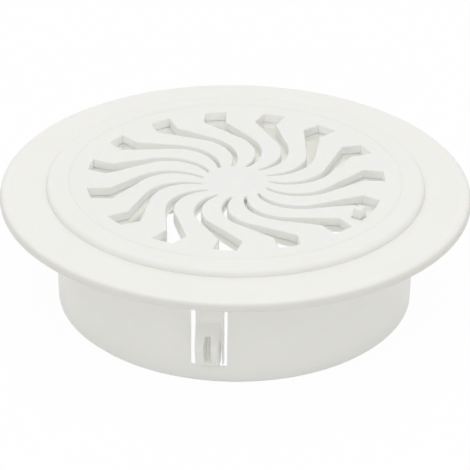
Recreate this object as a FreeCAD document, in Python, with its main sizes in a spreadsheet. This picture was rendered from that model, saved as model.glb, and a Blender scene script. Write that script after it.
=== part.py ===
import FreeCAD, Part
import math
import os
import re
import Sketcher

# Round vent cover with a swirl grille, a spigot collar and a turning shutter behind the grille.
# Origin: centre of the flange's back face, which lies on the wall. +Z points into the room,
# and the collar runs along -Z into the duct. Millimetres and degrees throughout.

SIZES = [
    ("collar_diameter", 100.0, "spigot at the flange, for a 100 mm duct"),
    ("collar_wall", 2.0, "wall of the spigot"),
    ("collar_depth", 31.0, "spigot behind the flange's back"),
    ("collar_draft", 0.3, "loss of radius towards the spigot's mouth"),
    ("collar_chamfer", 0.6, "lead-in at the spigot's mouth"),
    ("flange_width", 15.0, "flange beyond the spigot"),
    ("flange_thickness", 2.6, "flange, back face to front face"),
    ("flange_edge", 0.6, "straight part of the flange's rim, below its round"),
    ("disc_overhang", 2.2, "raised disc beyond the spigot"),
    ("disc_rise", 2.0, "raised disc above the flange's front"),
    ("disc_edge", 0.5, "straight part of the disc's side, below its round"),
    ("plate_thickness", 2.8, "grille plate at its rim"),
    ("dish_margin", 2.0, "spigot's inside to the edge of the disc's hollow"),
    ("dish_depth", 1.4, "hollow of the disc's front at the hub"),
    ("hub_margin", 1.0, "flat of the hub's front to the slots' inner tips"),
    ("slot_count", 15, "swirl slots round the grille"),
    ("slot_margin", 4.9, "edge of the hollow to the slots' outer ends"),
    ("slot_break", 0.35, "front edges of the slots, broken by this much"),
    ("tip_radius", 9.4, "slots' inner tips, from the centre"),
    ("tip_angle", 23.6, "bearing of the first slot's tip"),
    ("tip_width", 0.7, "slot across its tip"),
    ("bend_setback", 15.1, "slots' outer ends to where the sweep starts"),
    ("bend_angle", 35.75, "bearing of that place"),
    ("bend_width", 3.1, "slot there, along the circle"),
    ("throat_setback", 6.0, "slots' outer ends to the inside corner of the head"),
    ("heel_setback", 5.1, "slots' outer ends to the outside corner of the head"),
    ("knee_angle", 52.15, "bearing of the head's corners"),
    ("knee_width", 6.0, "head between its corners, along the circle"),
    ("end_angle", 50.35, "bearing of the outer end"),
    ("end_width", 5.95, "outer end, along the circle"),
    ("shutter_margin", 2.5, "spigot's inside to the shutter's edge"),
    ("shutter_thickness", 1.5, "plate of the shutter"),
    ("running_gap", 0.3, "play of the shutter against the grille and the snap head"),
    ("pivot_diameter", 8.0, "pivot under the hub that the shutter turns on"),
    ("pivot_play", 0.1, "play between pivot and shutter, on the radius"),
    ("pivot_lip", 0.8, "snap head beyond the pivot, on the radius"),
    ("pivot_land", 0.6, "straight part of the snap head"),
    ("pivot_point", 1.8, "tapered part of the snap head"),
    ("pivot_taper", 1.5, "loss of radius over that taper"),
    ("pivot_slit", 1.0, "slit that lets the snap head spring"),
    ("pivot_root", 0.5, "pivot left whole above the slit, and sunk in the plate"),
    ("peg_slot", 12, "slot, counted from the first, that the peg works in"),
    ("peg_lead", 11.25, "bearing of the peg behind that slot's outer end"),
    ("peg_width", 2.9, "finger peg of the shutter, along the circle"),
    ("peg_depth", 2.35, "finger peg along the radius"),
    ("peg_rise", 2.4, "top of the peg above the disc's rim"),
    ("peg_break", 0.4, "edges of the peg's top, broken by this much"),
    ("peg_play", 0.3, "play of the peg in its window"),
    ("clip_count", 3, "spring tongues round the collar"),
    ("clip_angle", 262.7, "bearing of the first tongue"),
    ("clip_width", 7.4, "tongue"),
    ("clip_slit", 1.4, "slit round the tongue"),
    ("clip_root", 8.5, "flange's back to the tongue's root"),
    ("clip_ring", 4.3, "whole ring left at the spigot's mouth"),
    ("barb_lead", 6.6, "tongue's free end to the barb's crest"),
    ("barb_crest", 1.2, "crest along the tongue"),
    ("barb_back", 2.4, "crest to where the barb leaves the tongue"),
    ("barb_height", 4.2, "crest beyond the spigot"),
    ("barb_toe", 2.0, "barb beyond the spigot at the tongue's free end"),
    ("barb_gap", 1.5, "groove between the barb's two ribs"),
    ("barb_bridge", 1.5, "barb left whole between that groove and the free end"),
]

doc = FreeCAD.newDocument("RoundVentCover")
sheet = doc.addObject("Spreadsheet::Sheet", "Sizes")
for row, (alias, size, note) in enumerate(SIZES, 1):
    sheet.set(f"A{row}", alias)
    sheet.set(f"B{row}", str(size))
    sheet.set(f"C{row}", note)
    sheet.setAlias(f"B{row}", alias)
doc.recompute()
ALIASES = {alias for alias, _, _ in SIZES}
RIM_CHORDS = 3
TOUCH = 0.01

# Radii, heights and bearings that more than one feature uses, as expressions of the sizes.
collar_outside = "(collar_diameter / 2)"
collar_inside = f"({collar_outside} - collar_wall)"
mouth_outside = f"({collar_outside} - collar_draft)"
disc_top = "(flange_thickness + disc_rise)"
plate_back = f"({disc_top} - plate_thickness)"
dish_radius = f"({collar_inside} - dish_margin)"
hub_front = f"({disc_top} - dish_depth)"
hub_radius = "(tip_radius - hub_margin)"
slot_end = f"({dish_radius} - slot_margin)"
shutter_top = f"({plate_back} - running_gap)"
shutter_back = f"({shutter_top} - shutter_thickness)"
peg_bearing = "(end_angle + peg_slot * 360 / slot_count - peg_lead)"
peg_travel = "(180 / slot_count)"
peg_outside = f"({slot_end} - peg_play)"
peg_inside = f"({peg_outside} - peg_depth)"


def value(expression):
    return float(sheet.evalExpression(expression))


def set_size(item, target, expression):
    """Bind a property to an expression of the sheet's sizes."""
    item.setExpression(target, re.sub(r"[a-z_]+", lambda word: sheet_name(word[0]), expression))


def sheet_name(word):
    return f"Sizes.{word}" if word in ALIASES else word


def origin_feature(body, role):
    return next(item for item in body.Origin.OriginFeatures if item.Role == role)


def new_sketch(body, name, role, height=None, bearing="0"):
    """Sketch on an origin plane, turned about the part's axis and lifted along its own normal."""
    sketch = body.newObject("Sketcher::SketchObject", name)
    sketch.AttachmentSupport = [(origin_feature(body, role), "")]
    sketch.MapMode = "FlatFace"
    if bearing != "0":
        turn = FreeCAD.Rotation(FreeCAD.Vector(0, 1, 0), value(bearing))
        sketch.AttachmentOffset = FreeCAD.Placement(FreeCAD.Vector(), turn)
        set_size(sketch, "AttachmentOffset.Rotation.Angle", bearing)
    if height:
        set_size(sketch, "AttachmentOffset.Base.x", f"{height} * sin({bearing} * 1 deg)")
        set_size(sketch, "AttachmentOffset.Base.z", f"{height} * cos({bearing} * 1 deg)")
    return sketch


def quarter_round(across, up, radius):
    """Corners of a quarter round about a centre, from its top to its side, in short chords."""
    turns = [90 - 90 * step / RIM_CHORDS for step in range(RIM_CHORDS + 1)]
    return [(f"{across} + {radius} * cos({turn} deg)", f"{up} + {radius} * sin({turn} deg)") for turn in turns]


def constrain(sketch, kind, places, expression, label):
    index = sketch.addConstraint(Sketcher.Constraint(kind, *places, value(expression)))
    sketch.renameConstraint(index, label)
    set_size(sketch, f"Constraints.{label}", expression)


def arc_middle(start, end, radius):
    """Point halfway along an arc, which turns left from start to end where the radius is positive."""
    chord = end - start
    half = chord.Length / 2
    rise = abs(radius) - math.sqrt(radius * radius - half * half)
    right = FreeCAD.Vector(chord.y, -chord.x, 0).normalize()
    return (start + end) / 2 + right * math.copysign(rise, radius)


def tangent_radius(corner, other, direction):
    """Radius of the arc that runs through two points along a direction at the first, left turns positive."""
    left = FreeCAD.Vector(-direction.y, direction.x, 0).normalize()
    span = corner - other
    return -span.dot(span) / (2 * left.dot(span))


def outline(sketch, corners, arcs=None, smooth=None):
    """Closed outline through corners, each two expressions.

    arcs maps a side's number to its radius, an expression, and +1 for a left turn or -1 for a right
    one. smooth maps the number of an arc to the straight side beside it that it runs on from.
    """
    arcs = arcs or {}
    smooth = smooth or {}
    points = [FreeCAD.Vector(value(x), value(y), 0) for x, y in corners]
    count = len(points)
    sides = []
    for side in range(count):
        start, end = points[side], points[(side + 1) % count]
        line = Part.LineSegment(start, end)
        if side in arcs:
            radius, turn = arcs[side]
            line = Part.Arc(start, arc_middle(start, end, turn * value(radius)), end)
        elif side in smooth:
            straight = points[(smooth[side] + 1) % count] - points[smooth[side]]
            corner, other = (end, start) if smooth[side] > side else (start, end)
            line = Part.Arc(start, arc_middle(start, end, tangent_radius(corner, other, straight)), end)
        geometry = sketch.addGeometry(line)
        first = 1 if sketch.getPoint(geometry, 1).isEqual(start, 1e-6) else 2
        sides.append((geometry, first, 3 - first))
    for side, (geometry, first, last) in enumerate(sides):
        following, next_first, _ = sides[(side + 1) % count]
        meeting = "Tangent" if smooth.get(side) == side + 1 or smooth.get(side + 1) == side else "Coincident"
        sketch.addConstraint(Sketcher.Constraint(meeting, geometry, last, following, next_first))
        constrain(sketch, "DistanceX", (-1, 1, geometry, first), corners[side][0], f"x{side}")
        constrain(sketch, "DistanceY", (-1, 1, geometry, first), corners[side][1], f"y{side}")
        if side in arcs:
            constrain(sketch, "Radius", (geometry,), arcs[side][0], f"radius{side}")


def polar(radius, bearing, along="0"):
    """Corner at a radius and a bearing, moved round its circle by a length."""
    turned = f"{bearing} * 1 deg + ({along}) / {radius} * 1 rad"
    return f"{radius} * cos({turned})", f"{radius} * sin({turned})"


def revolve(body, sketch, name):
    feature = body.newObject("PartDesign::Revolution", name)
    feature.Profile = sketch
    feature.ReferenceAxis = (sketch, ["V_Axis"])
    feature.Angle = 360


def cut_through(body, sketch, name, outward=False):
    feature = body.newObject("PartDesign::Pocket", name)
    feature.Profile = sketch
    feature.Type = "ThroughAll"
    feature.Reversed = outward
    return feature


def repeat_round(body, features, name, count):
    feature = body.newObject("PartDesign::PolarPattern", name)
    feature.Originals = features
    feature.Axis = (origin_feature(body, "Z_Axis"), [""])
    feature.Angle = 360
    set_size(feature, "Occurrences", count)
    body.Tip = feature


def break_edges(body, name, size, wanted):
    """Chamfer the edges of the body so far that the wanted test picks out."""
    doc.recompute()
    base = body.Tip
    names = [f"Edge{number}" for number, edge in enumerate(base.Shape.Edges, 1) if wanted(base.Shape, edge)]
    feature = body.newObject("PartDesign::Chamfer", name)
    feature.Base = (base, names)
    set_size(feature, "Size", size)


def swirl_slots(body, name):
    """Slots all through a plate: each sweeps out of the hub, runs straight and ends in a bent, wider head."""
    bend = f"({slot_end} - bend_setback)"
    throat = f"({slot_end} - throat_setback)"
    heel = f"({slot_end} - heel_setback)"
    sketch = new_sketch(body, f"{name}Outline", "XY_Plane", height=disc_top)
    corners = [
        polar("tip_radius", "tip_angle", "-tip_width / 2"),
        polar(bend, "bend_angle", "-bend_width / 2"),
        polar(throat, "knee_angle", "-knee_width / 2"),
        polar(slot_end, "end_angle", "-end_width / 2"),
        polar(slot_end, "end_angle", "end_width / 2"),
        polar(heel, "knee_angle", "knee_width / 2"),
        polar(bend, "bend_angle", "bend_width / 2"),
        polar("tip_radius", "tip_angle", "tip_width / 2"),
    ]
    outline(sketch, corners, arcs={3: (slot_end, 1)}, smooth={0: 1, 6: 5})
    cut = cut_through(body, sketch, f"{name}Cut")
    repeat_round(body, [cut], name, "slot_count")


def cover_moulding(body):
    """Dished disc, flange and collar, turned from one half section."""
    flange_outside = f"({collar_outside} + flange_width)"
    flange_round = "(flange_thickness - flange_edge)"
    disc_outside = f"({collar_outside} + disc_overhang)"
    disc_round = "(disc_rise - disc_edge)"
    between_tips = "(tip_angle - 180 / slot_count)"
    sketch = new_sketch(body, "CoverSection", "XZ_Plane", bearing=between_tips)
    corners = [
        ("0", plate_back),
        ("0", hub_front),
        (hub_radius, hub_front),
        (dish_radius, disc_top),
        *quarter_round(f"({disc_outside} - {disc_round})", "(flange_thickness + disc_edge)", disc_round),
        (disc_outside, "flange_thickness"),
        *quarter_round(f"({flange_outside} - {flange_round})", "flange_edge", flange_round),
        (flange_outside, "0"),
        (collar_outside, "0"),
        (mouth_outside, "collar_chamfer - collar_depth"),
        (f"{mouth_outside} - collar_chamfer", "-collar_depth"),
        (f"{mouth_outside} - collar_wall", "-collar_depth"),
        (collar_inside, plate_back),
    ]
    outline(sketch, corners)
    revolve(body, sketch, "Moulding")


def peg_window(body):
    """Lengthened head of one slot, which the shutter's peg works in from open to closed."""
    inside = f"({peg_inside} - peg_play)"
    reach = "(peg_width / 2 + peg_play)"
    closed = f"({peg_bearing} + {peg_travel})"
    sketch = new_sketch(body, "PegWindowOutline", "XY_Plane", height=disc_top)
    corners = [
        polar(inside, peg_bearing, f"-{reach}"),
        polar(slot_end, peg_bearing, f"-{reach}"),
        polar(slot_end, closed, reach),
        polar(inside, closed, reach),
    ]
    outline(sketch, corners, arcs={1: (slot_end, 1), 3: (inside, -1)})
    cut_through(body, sketch, "PegWindow")


def shutter_pivot(body):
    """Split pivot under the hub, with a snap head that holds the shutter."""
    pivot = "(pivot_diameter / 2)"
    head = f"({pivot} + pivot_lip)"
    root = f"({plate_back} + pivot_root)"
    shoulder = f"({shutter_back} - running_gap)"
    land = f"({shoulder} - pivot_land)"
    point = f"({land} - pivot_point)"
    sketch = new_sketch(body, "PivotSection", "XZ_Plane")
    corners = [
        ("0", root),
        ("0", point),
        (f"{head} - pivot_taper", point),
        (head, land),
        (head, shoulder),
        (pivot, shoulder),
        (pivot, root),
    ]
    outline(sketch, corners)
    revolve(body, sketch, "Pivot")
    slit = new_sketch(body, "PivotSlitOutline", "XZ_Plane")
    corners = [
        ("-pivot_slit / 2", f"{point} - pivot_root"),
        ("pivot_slit / 2", f"{point} - pivot_root"),
        ("pivot_slit / 2", f"{plate_back} - pivot_root"),
        ("-pivot_slit / 2", f"{plate_back} - pivot_root"),
    ]
    outline(slit, corners)
    cut = body.newObject("PartDesign::Pocket", "PivotSlit")
    cut.Profile = slit
    cut.Midplane = True
    set_size(cut, "Length", f"2 * ({head} + pivot_play)")


def collar_clips(body):
    """Spring tongues cut free of the collar, each with a barb of two ribs."""
    across = "(clip_angle + 90)"
    half_cut = "(clip_width / 2 + clip_slit)"
    ring_top = "(clip_ring - collar_depth)"
    free_end = f"({ring_top} + clip_slit)"
    freeing = new_sketch(body, "ClipSlitsOutline", "XZ_Plane", bearing=across)
    corners = [
        (f"-{half_cut}", "-clip_root"),
        ("-clip_width / 2", "-clip_root"),
        ("-clip_width / 2", free_end),
        ("clip_width / 2", free_end),
        ("clip_width / 2", "-clip_root"),
        (half_cut, "-clip_root"),
        (half_cut, ring_top),
        (f"-{half_cut}", ring_top),
    ]
    outline(freeing, corners)
    slits = cut_through(body, freeing, "ClipSlits", outward=True)

    inside = f"({mouth_outside} - collar_wall / 2)"
    crest_low = f"({free_end} + barb_lead)"
    crest_high = f"({crest_low} + barb_crest)"
    barb_top = f"({crest_high} + barb_back)"
    profile = new_sketch(body, "BarbSection", "XZ_Plane", bearing="clip_angle")
    corners = [
        (inside, free_end),
        (f"{collar_outside} + barb_toe", free_end),
        (f"{collar_outside} + barb_height", crest_low),
        (f"{collar_outside} + barb_height", crest_high),
        (mouth_outside, barb_top),
        (inside, barb_top),
    ]
    outline(profile, corners)
    barb = body.newObject("PartDesign::Pad", "Barb")
    barb.Profile = profile
    barb.Midplane = True
    set_size(barb, "Length", "clip_width")

    parting = new_sketch(body, "BarbGrooveOutline", "XZ_Plane", height=collar_outside, bearing=across)
    corners = [
        ("-barb_gap / 2", f"{free_end} + barb_bridge"),
        ("barb_gap / 2", f"{free_end} + barb_bridge"),
        ("barb_gap / 2", barb_top),
        ("-barb_gap / 2", barb_top),
    ]
    outline(parting, corners)
    groove = cut_through(body, parting, "BarbGroove", outward=True)
    repeat_round(body, [slits, barb, groove], "Clips", "clip_count")


def slot_front_edge(shape, edge):
    """Whether an edge runs round a slot on the dished front, and isn't the front's own seam."""
    radii = [math.hypot(corner.X, corner.Y) for corner in edge.Vertexes]
    within = value(hub_radius) < min(radii) - TOUCH and max(radii) < value(dish_radius) - TOUCH
    in_front = edge.BoundBox.ZMin > value(hub_front)
    return within and in_front and len(shape.ancestorsOfType(edge, Part.Face)) == 2


def make_cover():
    body = doc.addObject("PartDesign::Body", "Cover")
    body.Label = "grille_cover"
    cover_moulding(body)
    swirl_slots(body, "CoverSlots")
    peg_window(body)
    break_edges(body, "SlotBreaks", "min(slot_break; tip_width / 2)", slot_front_edge)
    shutter_pivot(body)
    collar_clips(body)
    return body


def make_shutter():
    body = doc.addObject("PartDesign::Body", "Shutter")
    body.Label = "shutter"
    bore = "(pivot_diameter / 2 + pivot_play)"
    outside = f"({collar_inside} - shutter_margin)"
    section = new_sketch(body, "ShutterSection", "XZ_Plane")
    corners = [
        (bore, shutter_back),
        (outside, shutter_back),
        (outside, shutter_top),
        (bore, shutter_top),
    ]
    outline(section, corners)
    revolve(body, section, "Disc")
    swirl_slots(body, "ShutterSlots")

    # Finger peg, rooted halfway into the disc.
    root = f"({shutter_back} + shutter_thickness / 2)"
    peg_top = f"({disc_top} + peg_rise)"
    peg = new_sketch(body, "PegOutline", "XY_Plane", height=root)
    corners = [
        polar(peg_inside, peg_bearing, "-peg_width / 2"),
        polar(peg_outside, peg_bearing, "-peg_width / 2"),
        polar(peg_outside, peg_bearing, "peg_width / 2"),
        polar(peg_inside, peg_bearing, "peg_width / 2"),
    ]
    outline(peg, corners, arcs={1: (peg_outside, 1), 3: (peg_inside, -1)})
    pad = body.newObject("PartDesign::Pad", "Peg")
    pad.Profile = peg
    set_size(pad, "Length", f"{peg_top} - {root}")
    break_edges(body, "PegBreaks", "peg_break", lambda _, edge: edge.BoundBox.ZMin > value(disc_top))
    return body


parts = [make_cover(), make_shutter()]
doc.recompute()

for item in doc.Objects:
    if {"Invalid", "Error"} & set(item.State):
        raise RuntimeError(f"{item.Name} failed: {item.State}")
os.makedirs("parts", exist_ok=True)
for body in parts:
    shape = body.Shape
    if shape.isNull() or not shape.isValid():
        raise RuntimeError(f"{body.Label} has no valid shape")
    print(body.Label, "solids", len(shape.Solids), "volume", round(shape.Volume, 1))
    shape.exportStep(f"parts/{body.Label}.step")
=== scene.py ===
import math

import bmesh
import bpy
import numpy as np
from mathutils import Matrix, Vector


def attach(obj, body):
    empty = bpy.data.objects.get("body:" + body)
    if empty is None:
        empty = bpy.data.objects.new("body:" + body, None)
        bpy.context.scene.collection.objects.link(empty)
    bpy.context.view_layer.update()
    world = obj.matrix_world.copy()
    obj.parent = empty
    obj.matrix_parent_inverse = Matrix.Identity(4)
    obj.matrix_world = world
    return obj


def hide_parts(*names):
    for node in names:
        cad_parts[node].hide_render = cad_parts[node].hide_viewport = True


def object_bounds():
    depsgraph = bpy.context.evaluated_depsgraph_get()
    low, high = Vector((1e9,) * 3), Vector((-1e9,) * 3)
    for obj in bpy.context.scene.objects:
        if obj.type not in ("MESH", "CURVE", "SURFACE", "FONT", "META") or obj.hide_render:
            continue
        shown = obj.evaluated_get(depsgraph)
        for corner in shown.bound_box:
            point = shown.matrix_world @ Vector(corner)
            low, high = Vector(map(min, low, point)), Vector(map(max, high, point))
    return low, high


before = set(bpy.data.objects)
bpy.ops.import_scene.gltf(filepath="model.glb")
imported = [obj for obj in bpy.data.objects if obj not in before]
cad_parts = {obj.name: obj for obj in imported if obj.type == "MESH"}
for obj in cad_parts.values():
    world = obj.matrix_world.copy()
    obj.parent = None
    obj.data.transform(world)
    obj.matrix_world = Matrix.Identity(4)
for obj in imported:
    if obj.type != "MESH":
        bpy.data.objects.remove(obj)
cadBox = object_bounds()
upward = (0.0, 0.0, 1.0)
white = (1.0, 1.0, 1.0, 1.0)
print("frame loaded:", ", ".join(sorted(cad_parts)))


# Values go to the node's own settings where it has them, and otherwise to its sockets
def newNode(tree, kind, values=None):
    node = tree.nodes.new(kind)
    for name, value in (values or {}).items():
        if hasattr(node, name):
            setattr(node, name, value)
        else:
            node.inputs[name].default_value = value
    return node


def emptyMaterial(name):
    material = bpy.data.materials.new(name)
    material.use_nodes = True
    material.node_tree.nodes.clear()
    return material, material.node_tree


# Quads over a grid of points, rows by columns
def gridMesh(name, points):
    corner = np.arange(points.shape[0] * points.shape[1]).reshape(points.shape[:2])
    quads = np.stack([corner[:-1, :-1], corner[:-1, 1:], corner[1:, 1:], corner[1:, :-1]], axis=-1)
    mesh = bpy.data.meshes.new(name)
    mesh.from_pydata(points.reshape(-1, 3).tolist(), [], quads.reshape(-1, 4).tolist())
    return mesh


def shadeSmooth(mesh, sharpAngle):
    mesh.polygons.foreach_set("use_smooth", np.ones(len(mesh.polygons), dtype=bool))
    mesh.set_sharp_from_angle(angle=math.radians(sharpAngle))


# Moulded satin skin, shared by both mouldings: cloudy whites, a fine grain and the gloss that goes with it
def mouldedSkin():
    group = bpy.data.node_groups.new("mouldedSkin", "ShaderNodeTree")
    sockets = group.interface
    for name in ("Clear White", "Milky White"):
        sockets.new_socket(name, in_out="INPUT", socket_type="NodeSocketColor")
    for name in ("Cloud Scale", "Grain Scale", "Gloss Low", "Gloss High"):
        sockets.new_socket(name, in_out="INPUT", socket_type="NodeSocketFloat")
    sockets.new_socket("Color", in_out="OUTPUT", socket_type="NodeSocketColor")
    sockets.new_socket("Roughness", in_out="OUTPUT", socket_type="NodeSocketFloat")
    sockets.new_socket("Height", in_out="OUTPUT", socket_type="NodeSocketFloat")
    link = group.links.new
    given = group.nodes.new("NodeGroupInput")
    put = group.nodes.new("NodeGroupOutput")
    place = group.nodes.new("ShaderNodeTexCoord")

    cloud = newNode(group, "ShaderNodeTexNoise", {"Detail": 3.0, "Roughness": 0.5})
    link(place.outputs["Object"], cloud.inputs["Vector"])
    link(given.outputs["Cloud Scale"], cloud.inputs["Scale"])
    spread = newNode(group, "ShaderNodeMapRange", {"From Min": 0.3, "From Max": 0.7})
    link(cloud.outputs["Fac"], spread.inputs["Value"])
    tint = newNode(group, "ShaderNodeMix", {"data_type": "RGBA"})
    link(spread.outputs["Result"], tint.inputs["Factor"])
    link(given.outputs["Clear White"], tint.inputs["A"])
    link(given.outputs["Milky White"], tint.inputs["B"])
    link(tint.outputs["Result"], put.inputs["Color"])

    grain = newNode(group, "ShaderNodeTexNoise", {"Detail": 2.0, "Roughness": 0.6})
    link(place.outputs["Object"], grain.inputs["Vector"])
    link(given.outputs["Grain Scale"], grain.inputs["Scale"])
    link(grain.outputs["Fac"], put.inputs["Height"])
    both = newNode(group, "ShaderNodeMath", {"operation": "MULTIPLY"})
    link(cloud.outputs["Fac"], both.inputs[0])
    link(grain.outputs["Fac"], both.inputs[1])
    gloss = newNode(group, "ShaderNodeMapRange", {"From Min": 0.1, "From Max": 0.4})
    link(both.outputs["Value"], gloss.inputs["Value"])
    link(given.outputs["Gloss Low"], gloss.inputs["To Min"])
    link(given.outputs["Gloss High"], gloss.inputs["To Max"])
    link(gloss.outputs["Result"], put.inputs["Roughness"])
    return group


# Marks that run round the axis: a fine crease at the hollow's edge, and painted shade that greys the
# flange rim
def turnedRings(tree, rings, color, normal):
    link = tree.links.new
    place = tree.nodes.new("ShaderNodeTexCoord")
    flat = newNode(tree, "ShaderNodeVectorMath", {"operation": "MULTIPLY"})
    flat.inputs[1].default_value = (1.0, 1.0, 0.0)
    link(place.outputs["Object"], flat.inputs[0])
    radius = newNode(tree, "ShaderNodeVectorMath", {"operation": "LENGTH"})
    link(flat.outputs["Vector"], radius.inputs[0])

    fromCrease = newNode(tree, "ShaderNodeMath", {"operation": "SUBTRACT"})
    link(radius.outputs["Value"], fromCrease.inputs[0])
    fromCrease.inputs[1].default_value = rings["creaseRadius"]
    away = newNode(tree, "ShaderNodeMath", {"operation": "ABSOLUTE"})
    link(fromCrease.outputs["Value"], away.inputs[0])
    crease = newNode(tree, "ShaderNodeMapRange", {
        "interpolation_type": "SMOOTHSTEP", "From Max": rings["creaseWidth"]})
    link(away.outputs["Value"], crease.inputs["Value"])
    dent = newNode(tree, "ShaderNodeBump", {"Strength": 1.0, "Distance": rings["creaseDepth"]})
    link(crease.outputs["Result"], dent.inputs["Height"])
    link(normal, dent.inputs["Normal"])

    # Painted shade: the colour greys towards the flange's outer rim, darkening it as if it lay in shade
    rimShadeMask = newNode(tree, "ShaderNodeMapRange", {
        "interpolation_type": "SMOOTHSTEP", "From Min": rings["rimStart"], "From Max": rings["rimEnd"]})
    link(radius.outputs["Value"], rimShadeMask.inputs["Value"])
    grey = newNode(tree, "ShaderNodeMix", {"data_type": "RGBA", "blend_type": "MULTIPLY"})
    grey.inputs["B"].default_value = rings["rimPaintedShade"]
    link(rimShadeMask.outputs["Result"], grey.inputs["Factor"])
    link(color, grey.inputs["A"])
    return grey.outputs["Result"], dent.outputs["Normal"]


def plasticMaterial(name, skin, finish):
    material, tree = emptyMaterial(name)
    link = tree.links.new
    group = newNode(tree, "ShaderNodeGroup", {"node_tree": skin})
    for socket, value in finish["skin"].items():
        group.inputs[socket].default_value = value
    edge = newNode(tree, "ShaderNodeBevel", {"samples": 4, "Radius": finish["edgeRadius"]})
    bump = newNode(tree, "ShaderNodeBump", {
        "Strength": finish["grainStrength"], "Distance": finish["grainDepth"]})
    link(group.outputs["Height"], bump.inputs["Height"])
    link(edge.outputs["Normal"], bump.inputs["Normal"])
    shader = newNode(tree, "ShaderNodeBsdfPrincipled", {"IOR": 1.49, **finish["translucence"]})
    link(group.outputs["Roughness"], shader.inputs["Roughness"])
    color, normal = group.outputs["Color"], bump.outputs["Normal"]
    if "rings" in finish:
        color, normal = turnedRings(tree, finish["rings"], color, normal)
    link(color, shader.inputs["Base Color"])
    link(normal, shader.inputs["Normal"])
    surface = tree.nodes.new("ShaderNodeOutputMaterial")
    link(shader.outputs["BSDF"], surface.inputs["Surface"])
    return material


# Merged copy of a CAD solid: welded corners, reshaped points, and normals that follow the larger face,
# so rims and breaks look round
def smoothCopy(nodeName, pieceName, settings, reshape):
    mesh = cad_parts[nodeName].data.copy()
    mesh.name = pieceName
    work = bmesh.new()
    work.from_mesh(mesh)
    bmesh.ops.remove_doubles(work, verts=work.verts, dist=settings["weld"])
    work.to_mesh(mesh)
    work.free()
    points = np.empty(len(mesh.vertices) * 3)
    mesh.vertices.foreach_get("co", points)
    mesh.vertices.foreach_set("co", reshape(points.reshape(-1, 3)).ravel())
    mesh.update()
    if mesh.attributes.get("custom_normal"):
        mesh.attributes.remove(mesh.attributes["custom_normal"])
    shadeSmooth(mesh, settings["sharpAngle"])
    piece = bpy.data.objects.new(pieceName, mesh)
    bpy.context.scene.collection.objects.link(piece)
    even = piece.modifiers.new("evenNormals", "WEIGHTED_NORMAL")
    even.mode = "FACE_AREA_WITH_ANGLE"
    even.weight = settings["faceWeight"]
    even.keep_sharp = True
    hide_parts(nodeName)
    return piece


skin = mouldedSkin()
welding = {"weld": 1e-6, "sharpAngle": 50.0, "faceWeight": 85}

coverFinish = {
    "skin": {
        "Clear White": (0.875, 0.877, 0.843, 1.0),
        "Milky White": (0.890, 0.890, 0.859, 1.0),
        "Cloud Scale": 38.0,
        "Grain Scale": 1500.0,
        "Gloss Low": 0.36,
        "Gloss High": 0.48,
    },
    "edgeRadius": 0.00025,
    "grainStrength": 0.10,
    "grainDepth": 0.0002,
    "translucence": {
        "Subsurface Weight": 0.35,
        "Subsurface Radius": (1.0, 0.82, 0.58),
        "Subsurface Scale": 0.002,
    },
    "rings": {
        "creaseRadius": 0.0459,
        "creaseWidth": 0.00035,
        "creaseDepth": 0.0001,
        # Painted shade on the flange's outer rim, greyed from rimStart to rimEnd
        "rimStart": 0.0640,
        "rimEnd": 0.0650,
        "rimPaintedShade": (0.82, 0.81, 0.80, 1.0),
    },
}

# Clips of the collar: u runs sideways, w outwards and z along the axis, in metres
clipSettings = {
    "bearings": (262.7, 22.7, 142.7),
    "zoneHalf": 0.0056,  # u, w and z of the CAD points that belong to a clip
    "zoneInside": 0.046,
    "zoneHeight": (-0.028, -0.008),
    "tongueHalf": 0.0037,
    "slitEnd": 0.0051,  # far side of a slit in the CAD
    "rightSlit": 0.0010,  # width of the right slit here
    "barbTop": -0.0150,
    "ledge": -0.0267,  # ring's edge below the tongue, lifted outside and lowered inside
    "ledgeLift": 0.0009,
    "ledgeDrop": 0.0002,
    "ledgeTouch": 1e-4,
    "collarRadius": 0.04985,  # collar's outside at the barb and at the tongue's root
    "rootRadius": 0.049916,
    "barbLevel": -0.0151,
    "rootLevel": -0.0085,
    "halfWall": 0.0010,
    "touch": 1e-5,
}


# Unit vectors of a clip: sideways along the circle and outwards
def clipAxes(bearing):
    turn = math.radians(bearing)
    side = np.array([-math.sin(turn), math.cos(turn), 0.0])
    outward = np.array([math.cos(turn), math.sin(turn), 0.0])
    return side, outward


# CAD points with the barbs pressed flat into their tongues, narrower right slits and a sloping ledge below
def reshapeCover(points):
    clip = clipSettings
    half, touch = clip["tongueHalf"], clip["touch"]
    lowest, highest = clip["zoneHeight"]
    narrow = clip["rightSlit"] / (clip["slitEnd"] - half)
    for bearing in clip["bearings"]:
        side, outward = clipAxes(bearing)
        u, w, z = points @ side, points @ outward, points[:, 2]
        near = (np.abs(u) < clip["zoneHalf"]) & (w > clip["zoneInside"]) & (z < highest) & (z > lowest)
        slit = near & (u > half + touch)
        newU = np.where(slit, half + (u - half) * narrow, u)
        newW = np.where(slit, np.sqrt(np.maximum(u * u + w * w - newU * newU, 0.0)), w)
        tongueFace = np.sqrt(clip["collarRadius"] ** 2 - newU * newU)
        barb = near & (np.abs(u) < half + touch) & (z < clip["barbTop"]) & (w > tongueFace)
        newW = np.where(barb, tongueFace, newW)
        ledge = near & (np.abs(z - clip["ledge"]) < clip["ledgeTouch"])
        outer = np.hypot(u, w) > clip["collarRadius"] - clip["halfWall"]
        lift = np.where(outer, clip["ledgeLift"], -clip["ledgeDrop"]) * ledge
        points = points + np.outer(newU - u, side) + np.outer(newW - w, outward) + np.outer(lift, upward)
    return points


cover = smoothCopy("grille_cover", "coverMoulding", welding, reshapeCover)
cover.data.materials.clear()
cover.data.materials.append(plasticMaterial("satinCover", skin, coverFinish))
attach(cover, "cover")
print("cover moulding:", len(cover.data.polygons), "faces")

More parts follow.
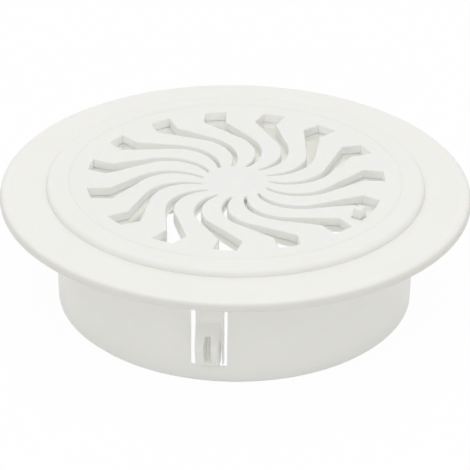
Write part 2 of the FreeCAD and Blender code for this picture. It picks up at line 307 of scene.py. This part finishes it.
barbSettings = {
    "left": -0.0037,
    "right": 0.00275,
    "bottom": -0.0253,
    "top": -0.0130,
    "toe": 0.0011,  # height at the free end
    "rise": 0.44,  # slope up from there
    "crownStart": -0.0205,
    "shoulder": 0.0007,
    "sideShare": 0.3,  # of the height, where the sides stand up straight
    "grooveMiddle": -0.0002,
    "grooveFlat": 0.0004,
    "grooveEdge": 0.0010,
    "grooveFoot": (0.0008, 0.0018),  # start and end of its lower ramp, from the free end
    "grooveTop": -0.0155,
    "grooveRamp": 0.0016,
    "grooveDepth": 0.75,
    "overlap": 0.00005,
    "sharpAngle": 55.0,
    "cells": (75, 64),
}
sideSlit = {"top": -0.0188, "from": 0.0028, "topTo": 0.00302, "bottomTo": 0.00345, "back": 0.04765}
# Limits in u, w and z of the faces that a cut may touch
cutLimits = {
    "tongueSide": 0.0038,
    "frontInside": 0.0494,
    "frontTop": -0.001,
    "slitSide": 0.0056,
    "wallInside": 0.0465,
    "wallTop": 0.006,
    "touch": 1e-6,
    "snap": 1e-7,
}


def easeBetween(value, low, high):
    share = np.clip((value - low) / (high - low), 0.0, 1.0)
    return share * share * (3.0 - 2.0 * share)


# Reach of the tongue's plain front at (u, z): the collar's slightly conical outside
def tongueFront(u, z):
    levels = [clipSettings["barbLevel"], clipSettings["rootLevel"]]
    r = np.interp(z, levels, [clipSettings["collarRadius"], clipSettings["rootRadius"]])
    return np.sqrt(r * r - u * u)


# Tongue's front with its barb: height over (u, z) is a slope up from the free end that eases back into
# the tongue, times rounded shoulders, less a groove down the middle. The border rows drop to its edges.
def tongueMesh(bearing, barb):
    columns, rows = barb["cells"]
    half = clipSettings["tongueHalf"]
    u, z = np.meshgrid(np.linspace(-half, half, columns), np.linspace(barb["bottom"], barb["top"], rows))
    slope = barb["toe"] + barb["rise"] * (z - barb["bottom"])
    crown = slope * (1.0 - easeBetween(z, barb["crownStart"], barb["top"]))
    fromSide = np.minimum(u - barb["left"], barb["right"] - u)
    fall = np.clip(1.0 - fromSide / barb["shoulder"], 0.0, 1.0)
    shoulder = np.sqrt(np.clip(1.0 - fall ** 2, 0.0, 1.0))
    across = 1.0 - easeBetween(np.abs(u - barb["grooveMiddle"]), barb["grooveFlat"], barb["grooveEdge"])
    footStart, footEnd = barb["grooveFoot"]
    along = easeBetween(z, barb["bottom"] + footStart, barb["bottom"] + footEnd) * (
        1.0 - easeBetween(z, barb["grooveTop"] - barb["grooveRamp"], barb["grooveTop"]))
    upright = barb["sideShare"] + (1.0 - barb["sideShare"]) * shoulder
    height = crown * (fromSide >= 0.0) * upright * (1.0 - barb["grooveDepth"] * across * along)

    border = ((1, 0), (1, 1))  # free end and both sides
    u, z = np.pad(u, border, mode="edge"), np.pad(z, border, mode="edge")
    reach = tongueFront(u, z) + np.pad(height, border, constant_values=-barb["overlap"])
    side, outward = clipAxes(bearing)
    points = u[..., None] * side + reach[..., None] * outward + z[..., None] * np.array(upward)
    mesh = gridMesh("tongue", points)
    shadeSmooth(mesh, barb["sharpAngle"])
    return mesh


# Faces of a clip above its free end whose corners all lie inside the limits in u, w and z
def clipFaces(work, bearing, uMost, wLeast, zMost):
    side, outward = (Vector(axis) for axis in clipAxes(bearing))
    zLeast = barbSettings["bottom"] - clipSettings["touch"]
    return [face for face in work.faces if all(
        abs(v.co.dot(side)) < uMost and v.co.dot(outward) > wLeast and zLeast < v.co.z < zMost
        for v in face.verts)]


def cutAlong(work, faces, place, normal):
    parts = list({part for face in faces for part in (*face.verts, *face.edges)}) + faces
    bmesh.ops.bisect_plane(work, geom=parts, dist=cutLimits["snap"], plane_co=place, plane_no=normal)


# One clip: the CAD front of the tongue comes off, the new front goes on, and a thin slit is cut
# beside the barb
def dressClip(work, bearing):
    side, outward = (Vector(axis) for axis in clipAxes(bearing))
    up = Vector(upward)
    top, bottom = barbSettings["top"], barbSettings["bottom"]
    slitTop, slitFrom = sideSlit["top"], sideSlit["from"]
    across, front = cutLimits["tongueSide"], cutLimits["frontInside"]
    cutAlong(work, clipFaces(work, bearing, across, front, cutLimits["frontTop"]), up * top, up)
    old = clipFaces(work, bearing, across, front, top + cutLimits["touch"])
    bmesh.ops.delete(work, geom=old, context="FACES")
    new = tongueMesh(bearing, barbSettings)
    work.from_mesh(new)
    bpy.data.meshes.remove(new)

    slant = Vector((sideSlit["bottomTo"] - sideSlit["topTo"], bottom - slitTop))
    edgeStart = side * sideSlit["topTo"] + up * slitTop
    edgeNormal = (side * -slant.y + up * slant.x).normalized()
    inside = cutLimits["wallInside"]
    for place, normal in ((side * slitFrom, side), (edgeStart, edgeNormal), (up * slitTop, up)):
        faces = clipFaces(work, bearing, cutLimits["slitSide"], inside, cutLimits["wallTop"])
        cutAlong(work, faces, place, normal)
    gone = []
    for face in clipFaces(work, bearing, across, inside, slitTop + cutLimits["touch"]):
        middle = face.calc_center_median()
        if middle.dot(side) > slitFrom and (middle - edgeStart).dot(edgeNormal) < 0.0:
            gone.append(face)
    bmesh.ops.delete(work, geom=gone, context="FACES")

    # Walls of the slit, from the tongue's back to its front
    rim = [(slitFrom, bottom), (slitFrom, slitTop),
           (sideSlit["topTo"], slitTop), (sideSlit["bottomTo"], bottom)]
    backRow = [work.verts.new(side * u + up * z + outward * sideSlit["back"]) for u, z in rim]
    frontRow = [work.verts.new(side * u + up * z + outward * float(tongueFront(u, z))) for u, z in rim]
    for a, b in ((0, 1), (1, 2), (2, 3)):
        work.faces.new((backRow[a], frontRow[a], frontRow[b], backRow[b]))


whole = bmesh.new()
whole.from_mesh(cover.data)
for bearing in clipSettings["bearings"]:
    dressClip(whole, bearing)
whole.to_mesh(cover.data)
whole.free()
print("clips dressed:", len(clipSettings["bearings"]))

shutterFinish = {
    "skin": {
        "Clear White": (0.863, 0.861, 0.822, 1.0),
        "Milky White": (0.881, 0.879, 0.843, 1.0),
        "Cloud Scale": 52.0,
        "Grain Scale": 1700.0,
        "Gloss Low": 0.38,
        "Gloss High": 0.50,
    },
    "edgeRadius": 0.0002,
    "grainStrength": 0.10,
    "grainDepth": 0.0002,
    "translucence": {
        "Subsurface Weight": 0.35,
        "Subsurface Radius": (1.0, 0.82, 0.58),
        "Subsurface Scale": 0.004,
    },
}
plateRise = {"top": 0.0015, "by": 0.0002, "touch": 1e-5}


# CAD points with the plate's front brought up towards the grille, which closes most of the running gap
def reshapeShutter(points):
    front = np.abs(points[:, 2] - plateRise["top"]) < plateRise["touch"]
    return points + np.outer(front * plateRise["by"], upward)


shutter = smoothCopy("shutter", "shutterPlate", welding, reshapeShutter)
shutter.data.materials.clear()
shutter.data.materials.append(plasticMaterial("satinShutter", skin, shutterFinish))
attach(shutter, "shutter")
print("shutter plate:", len(shutter.data.polygons), "faces")


# 1 for rays from the camera and for those off glossy or through clear surfaces
def seenRays(tree):
    path = tree.nodes.new("ShaderNodeLightPath")
    first = newNode(tree, "ShaderNodeMath", {"operation": "MAXIMUM"})
    tree.links.new(path.outputs["Is Camera Ray"], first.inputs[0])
    tree.links.new(path.outputs["Is Glossy Ray"], first.inputs[1])
    second = newNode(tree, "ShaderNodeMath", {"operation": "MAXIMUM"})
    tree.links.new(first.outputs["Value"], second.inputs[0])
    tree.links.new(path.outputs["Is Transmission Ray"], second.inputs[1])
    return second


floorSettings = {"halfSide": 4.0, "cells": 8, "white": (0.92, 0.92, 0.92, 1.0), "seenWhite": 0.96}


# Matt pale floor that keeps the shadow and is seen as white
def floorMaterial(settings):
    material, tree = emptyMaterial("paleFloor")
    link = tree.links.new
    matt = newNode(tree, "ShaderNodeBsdfDiffuse", {"Color": settings["white"]})
    glow = newNode(tree, "ShaderNodeEmission", {"Color": white, "Strength": 1.0})
    share = newNode(tree, "ShaderNodeMath", {"operation": "MULTIPLY"})
    link(seenRays(tree).outputs["Value"], share.inputs[0])
    share.inputs[1].default_value = settings["seenWhite"]
    mix = tree.nodes.new("ShaderNodeMixShader")
    link(share.outputs["Value"], mix.inputs["Fac"])
    link(matt.outputs["BSDF"], mix.inputs[1])
    link(glow.outputs["Emission"], mix.inputs[2])
    surface = tree.nodes.new("ShaderNodeOutputMaterial")
    link(mix.outputs["Shader"], surface.inputs["Surface"])
    return material


# Floor under the collar's mouth: x and y run over a square, z is the lowest point of the part
def paleFloor(settings):
    run = np.linspace(-settings["halfSide"], settings["halfSide"], settings["cells"] + 1)
    x, y = np.meshgrid(run, run)
    mesh = gridMesh("floor", np.stack([x, y, np.full_like(x, cadBox[0].z)], axis=-1))
    mesh.materials.append(floorMaterial(settings))
    floor = bpy.data.objects.new("floor", mesh)
    bpy.context.scene.collection.objects.link(floor)


paleFloor(floorSettings)
print("floor at", round(cadBox[0].z, 4))

# Soft studio light: a dome brighter overhead than at its edge, a softbox above the camera,
# and a light table's panel in the collar's mouth
lightSettings = {
    "dome": {"edge": 0.49, "crown": 1.05},
    "softbox": {"place": (-0.1, -0.75, 1.25), "shape": "SQUARE", "size": 1.0, "power": 2.9},
    "tablePanel": {"place": (0.0, 0.0, -0.0305), "shape": "DISK", "size": 0.09, "power": 0.014},
}


# Lamp that looks at the frame's origin
def softLamp(name, settings):
    lamp = bpy.data.lights.new(name, "AREA")
    lamp.shape = settings["shape"]
    lamp.size = settings["size"]
    lamp.energy = settings["power"]
    holder = bpy.data.objects.new(name, lamp)
    bpy.context.scene.collection.objects.link(holder)
    holder.location = settings["place"]
    look = Vector() - holder.location
    holder.rotation_euler = look.to_track_quat("-Z", "Y").to_euler()
    holder.visible_camera = False


def studioLight(settings):
    world = bpy.data.worlds.new("studio")
    bpy.context.scene.world = world
    world.use_nodes = True
    tree = world.node_tree
    tree.nodes.clear()
    link = tree.links.new
    place = tree.nodes.new("ShaderNodeTexCoord")
    height = tree.nodes.new("ShaderNodeSeparateXYZ")
    link(place.outputs["Generated"], height.inputs["Vector"])
    level = newNode(tree, "ShaderNodeMapRange", {
        "To Min": settings["dome"]["edge"], "To Max": settings["dome"]["crown"]})
    link(height.outputs["Z"], level.inputs["Value"])
    dome = newNode(tree, "ShaderNodeBackground", {"Color": white})
    link(level.outputs["Result"], dome.inputs["Strength"])
    seen = newNode(tree, "ShaderNodeBackground", {"Color": white, "Strength": 1.0})
    mix = tree.nodes.new("ShaderNodeMixShader")
    link(seenRays(tree).outputs["Value"], mix.inputs["Fac"])
    link(dome.outputs["Background"], mix.inputs[1])
    link(seen.outputs["Background"], mix.inputs[2])
    surface = tree.nodes.new("ShaderNodeOutputWorld")
    link(mix.outputs["Shader"], surface.inputs["Surface"])
    for name in ("softbox", "tablePanel"):
        softLamp(name, settings[name])


studioLight(lightSettings)
print("studio light set")

# Camera of the photo, from a pinhole fit: metres, degrees, and millimetres for the lens
cameraSettings = {
    "place": (0.0, -0.5292, 0.2799),
    "down": 29.042,
    "roll": 0.699,
    "lens": 165.44,
    "sensor": 36.0,
    "sees": (0.01, 20.0),
}


def photoCamera(settings):
    data = bpy.data.cameras.new("photoCamera")
    data.sensor_width = settings["sensor"]
    data.lens = settings["lens"]
    data.clip_start, data.clip_end = settings["sees"]
    camera = bpy.data.objects.new("photoCamera", data)
    bpy.context.scene.collection.objects.link(camera)
    tilt = Matrix.Rotation(math.radians(90.0 - settings["down"]), 4, "X")
    roll = Matrix.Rotation(math.radians(settings["roll"]), 4, "Z")
    camera.matrix_world = Matrix.Translation(settings["place"]) @ tilt @ roll
    bpy.context.scene.camera = camera


photoCamera(cameraSettings)
bpy.context.scene.view_settings.view_transform = "Standard"
print("camera set")

bpy.context.view_layer.update()
